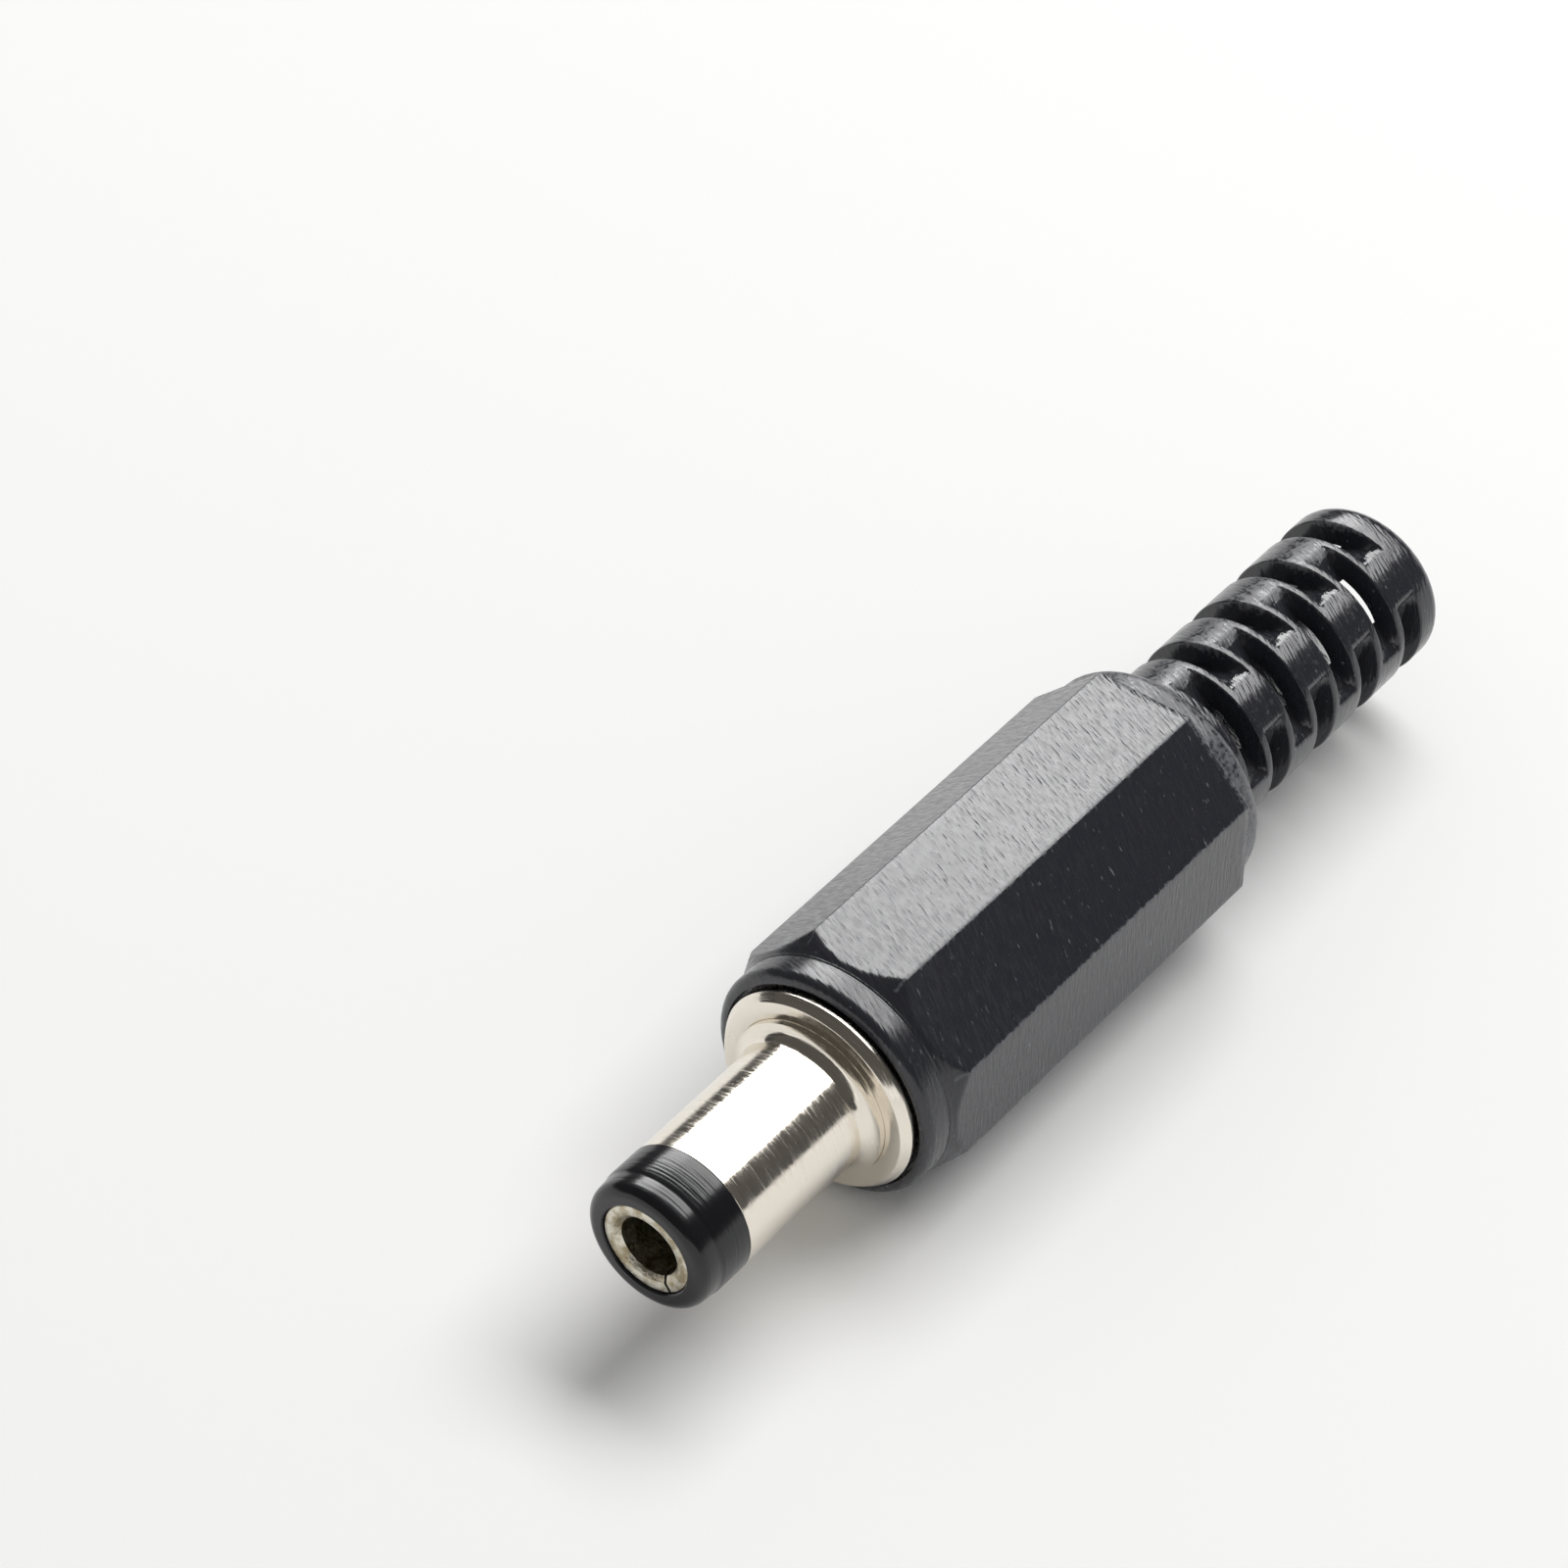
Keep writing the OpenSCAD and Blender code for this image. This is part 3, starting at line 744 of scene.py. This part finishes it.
def make_ring(material):
    """The tip's insulator: a ring with a round, tapered nose and a tool line, and its tube."""
    front = RING_HIGH.x
    rear = RING_LOW.x
    ring_r = RING_HIGH.y
    seat_x = front - RING_LENGTH
    hole_r = CONTACT_R + SEAT_GAP
    nose_r = ring_r - RING_TAPER
    profile = [(front - RING_BEVEL, hole_r), (front, hole_r + RING_BEVEL)]
    profile += arc_rows(front - RING_ROUND, nose_r - RING_ROUND, RING_ROUND, 0, 90, steps=9)
    profile += [(front - back, ring_r - depth) for back, depth in TOOL_LINE]
    profile += [(seat_x, ring_r), (seat_x, TUBE_R), (rear, TUBE_R), (rear, hole_r)]
    return turned("ring_turned", profile, material)


def make_contact(material):
    """The centre contact: a tube with a spring slit, and the stub with its riveted head."""
    front = CONTACT_HIGH.x
    floor_x = front - SOCKET_DEPTH
    slit_end = front - SLIT_LENGTH
    rivet_x = CONTACT_LOW.x
    tab_x = rivet_x + RIVET_HEIGHT
    lead_r = SOCKET_R + SOCKET_LEAD
    slotted = [(slit_end, SOCKET_R), (front - SOCKET_LEAD, SOCKET_R),
               (front - MOUTH_LIP, lead_r - MOUTH_LIP), (front, lead_r + MOUTH_LIP),
               (front, CONTACT_R - MOUTH_EDGE),
               (front - MOUTH_EDGE_BOW, CONTACT_R - MOUTH_EDGE_BOW),
               (front - MOUTH_EDGE, CONTACT_R), (slit_end, CONTACT_R)]
    closed = [(BUSH_FRONT_X, CONTACT_R), (BUSH_FRONT_X, STUB_R), (tab_x, STUB_R),
              (tab_x, RIVET_R)]
    closed += [(tab_x - back, RIVET_R - depth) for back, depth in RIVET_CROWN]
    closed += [(rivet_x, STUB_R), (rivet_x, ON_AXIS), (floor_x, ON_AXIS), (floor_x, SOCKET_R)]
    rows = slotted + closed
    columns = CONTACT_COLUMNS
    turn = math.radians(SLIT_TURN)
    points = []
    for x, r in rows:
        half = math.asin(min(1, SLIT_WIDTH / 2 / max(r, SLIT_WIDTH)))
        angles = turn + np.linspace(half, 2 * math.pi - half, columns)
        points.append([(x, r * math.cos(a), r * math.sin(a)) for a in angles])
    last = len(slotted) - 1
    slit_cells = {(i, columns - 1) for i in range(last)}
    faces = grid_faces(len(rows), columns, slit_cells)
    # the slit's two sides and its end
    faces.append(tuple(i * columns for i in range(last + 1)))
    faces.append(tuple(i * columns + columns - 1 for i in range(last, -1, -1)))
    faces.append((0, last * columns, last * columns + columns - 1, columns - 1))
    return finished("contact_tube", np.reshape(points, (-1, 3)), faces, material)


# ---------------------------------------------------------------- build

nylon = moulded_nylon()
acetal = turned_acetal()
nickel = nickel_plate()
tin = contact_tin()
sheet = tinned_sheet()
bush_nylon = natural_nylon()

for make, material, body, node, slot in (
        (make_cover, nylon, "cover", "cover", "grip_plastic"),
        (make_sleeve, nickel, "insert", "barrel_sleeve", "nickel_plate"),
        (make_ring, acetal, "insert", "tip_insulator", "ring_plastic"),
        (make_contact, tin, "insert", "centre_contact", "contact_plate")):
    piece = make(material)
    piece.modifiers.new("even_shading", "WEIGHTED_NORMAL").keep_sharp = True
    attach(piece, body)
    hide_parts(node)

for node, material in (("rear_bush", bush_nylon), ("ground_lug", sheet), ("centre_lug", sheet)):
    for material_slot in NODES[node].material_slots:
        material_slot.material = material


# ---------------------------------------------------------------- stage, lights and camera

FLOOR_HALF = 3.0
BACKDROP_REACH = 2.95
BACKDROP_HEIGHT = 0.56
BACKDROP_SIDES = 64
SOFTBOX_LOW_X = -0.85
SOFTBOX_HIGH_X = -0.32
SOFTBOX_REACH = 0.82

# the camera's direction and distance from the origin, and how far right and up it is moved
CAMERA_AZIMUTH = math.radians(38.06)
CAMERA_ELEVATION = math.radians(43.04)
CAMERA_DISTANCE = 192.97 * MM
CAMERA_RIGHT = -0.986 * MM
CAMERA_UP = 11.154 * MM
CAMERA_LENS = 123.66


def plain_object(name, corners, faces, material):
    """An object of flat faces with one material."""
    mesh = bpy.data.meshes.new(name)
    mesh.from_pydata(corners, [], faces)
    mesh.materials.append(material)
    return linked(name, mesh)


def flat_panel(name, corners, material):
    """A flat four-cornered panel of the stage."""
    panel = plain_object(name, corners, [(0, 1, 2, 3)], material)
    return panel


def sweep_paper():
    """Pale paper, matt.

    From 100 mm to 350 mm out it fades to an even glow, where the lamps no longer reach.
    """
    paper, tree, shader = new_material(
        "matt_paper_sweep", Base_Color=srgb("fafaf9"), Roughness=0.9)
    reach = add(tree, "ShaderNodeVectorMath", {0: object_coords(tree)}, operation="LENGTH")
    far = add(tree, "ShaderNodeMapRange",
              {"Value": reach.outputs["Value"], "From Min": 100.0, "From Max": 350.0},
              interpolation_type="SMOOTHSTEP")
    ray = add(tree, "ShaderNodeLightPath").outputs
    gloss = add(tree, "ShaderNodeMath",
                {0: ray["Is Glossy Ray"], 1: ray["Is Transmission Ray"]}, operation="MAXIMUM")
    seen = add(tree, "ShaderNodeMath",
               {0: ray["Is Camera Ray"], 1: gloss.outputs[0]}, operation="MAXIMUM")
    share = add(tree, "ShaderNodeMath",
                {0: far.outputs[0], 1: seen.outputs[0]}, operation="MULTIPLY")
    pale = add(tree, "ShaderNodeEmission", {"Color": srgb("fafaf9")})
    mix = add(tree, "ShaderNodeMixShader",
              {0: share.outputs[0], 1: shader.outputs[0], 2: pale.outputs[0]})
    tree.links.new(mix.outputs[0], tree.nodes["Material Output"].inputs["Surface"])
    return paper


def make_floor():
    """The pale floor that the plug lies on."""
    height = CAD_BOUNDS[0].z
    corners = [(FLOOR_HALF * x, FLOOR_HALF * y, height)
               for x, y in ((-1, -1), (1, -1), (1, 1), (-1, 1))]
    flat_panel("floor", corners, sweep_paper())


def make_flag(name, turns, reach, stretch):
    """A dark card that shows only in gloss, where it draws a dark band.

    It stands between two turns about the plug's axis, in degrees, and two stations along it.
    """
    low, high = [(reach * math.cos(t), reach * math.sin(t)) for t in map(math.radians, turns)]
    low_x, high_x = stretch
    card = new_material(name + "_felt", Base_Color=srgb("4a4949"), Roughness=1.0)[0]
    corners = [(low_x, *low), (high_x, *low), (high_x, *high), (low_x, *high)]
    flag = flat_panel(name, corners, card)
    flag.visible_camera = False
    flag.visible_diffuse = False
    flag.visible_shadow = False


def turned_to(right, up, back, place):
    """The placement of a lamp or camera from its three directions and its position."""
    return Matrix.Translation(place) @ Matrix((right, up, back)).transposed().to_4x4()


def make_softbox(name, turns, radiance, only_gloss=False):
    """One panel of the arched softbox behind the plug, between two turns about its axis.

    The rearmost panel only shows in gloss, so that the plug's shadow stays short and soft.
    """
    low_turn, high_turn = turns
    middle = math.radians((low_turn + high_turn) / 2)
    spread = math.radians(high_turn - low_turn) / 2
    lamp = bpy.data.lights.new(name, "AREA")
    lamp.shape = "RECTANGLE"
    lamp.size = SOFTBOX_HIGH_X - SOFTBOX_LOW_X
    lamp.size_y = 2 * SOFTBOX_REACH * math.tan(spread)
    lamp.energy = radiance * math.pi * lamp.size * lamp.size_y
    out = Vector((0, math.cos(middle), math.sin(middle)))
    side = Vector((1, 0, 0))
    place = out * SOFTBOX_REACH + Vector(((SOFTBOX_LOW_X + SOFTBOX_HIGH_X) / 2, 0, 0))
    light = linked(name, lamp)
    light.matrix_world = turned_to(side, out.cross(side), out, place)
    light.visible_diffuse = not only_gloss


def make_backdrop():
    """A low white wall all round the floor's edge, lit evenly, for views near the horizon."""
    low = CAD_BOUNDS[0].z
    sides = BACKDROP_SIDES
    turns = [2 * math.pi * i / sides for i in range(sides)]
    ring = [(BACKDROP_REACH * math.cos(t), BACKDROP_REACH * math.sin(t), z)
            for z in (low, low + BACKDROP_HEIGHT) for t in turns]
    faces = [(i, (i + 1) % sides, sides + (i + 1) % sides, sides + i) for i in range(sides)]
    lit = new_material("lit_white_backdrop", Base_Color=srgb("000000"),
                       Emission_Color=srgb("ffffff"), Emission_Strength=0.95)[0]
    backdrop = plain_object("backdrop", ring, faces, lit)


def make_world():
    """A dim room with an even fill, which lifts the shadows without showing in the gloss."""
    world = bpy.data.worlds.new("studio")
    world.use_nodes = True
    tree = world.node_tree
    tree.nodes.clear()
    ray = add(tree, "ShaderNodeLightPath").outputs
    room = add(tree, "ShaderNodeBackground", {"Color": srgb("f6f2ec"), "Strength": 0.1})
    fill = add(tree, "ShaderNodeBackground", {"Color": srgb("ffffff"), "Strength": 0.34})
    mix = add(tree, "ShaderNodeMixShader",
              {0: ray["Is Diffuse Ray"], 1: room.outputs[0], 2: fill.outputs[0]})
    add(tree, "ShaderNodeOutputWorld", {"Surface": mix.outputs[0]})
    bpy.context.scene.world = world


def make_camera():
    """The camera: above the tip and off to its side, looking down the plug."""
    camera = bpy.data.cameras.new("camera")
    camera.lens = CAMERA_LENS
    camera.sensor_width = 36
    camera.clip_start = 0.01
    back = Vector((math.cos(CAMERA_ELEVATION) * math.cos(CAMERA_AZIMUTH),
                   math.cos(CAMERA_ELEVATION) * math.sin(CAMERA_AZIMUTH),
                   math.sin(CAMERA_ELEVATION)))
    right = Vector((0, 0, 1)).cross(back).normalized()
    up = back.cross(right)
    place = back * CAMERA_DISTANCE + right * CAMERA_RIGHT + up * CAMERA_UP
    eye = linked("camera", camera)
    eye.matrix_world = turned_to(right, up, back, place)
    bpy.context.scene.camera = eye


make_floor()
make_backdrop()
make_world()
make_camera()
make_softbox("softbox_low", turns=(54, 86), radiance=5.8)
make_softbox("softbox_top", turns=(86, 118), radiance=6.2)
make_softbox("softbox_back", turns=(118, 150), radiance=8.2, only_gloss=True)
make_flag("right_flag", turns=(2, 20), reach=0.4, stretch=(-0.7, 0.15))
make_flag("left_flag", turns=(162, 178), reach=0.3, stretch=(-0.6, 0.3))
bpy.context.scene.view_settings.view_transform = "Standard"
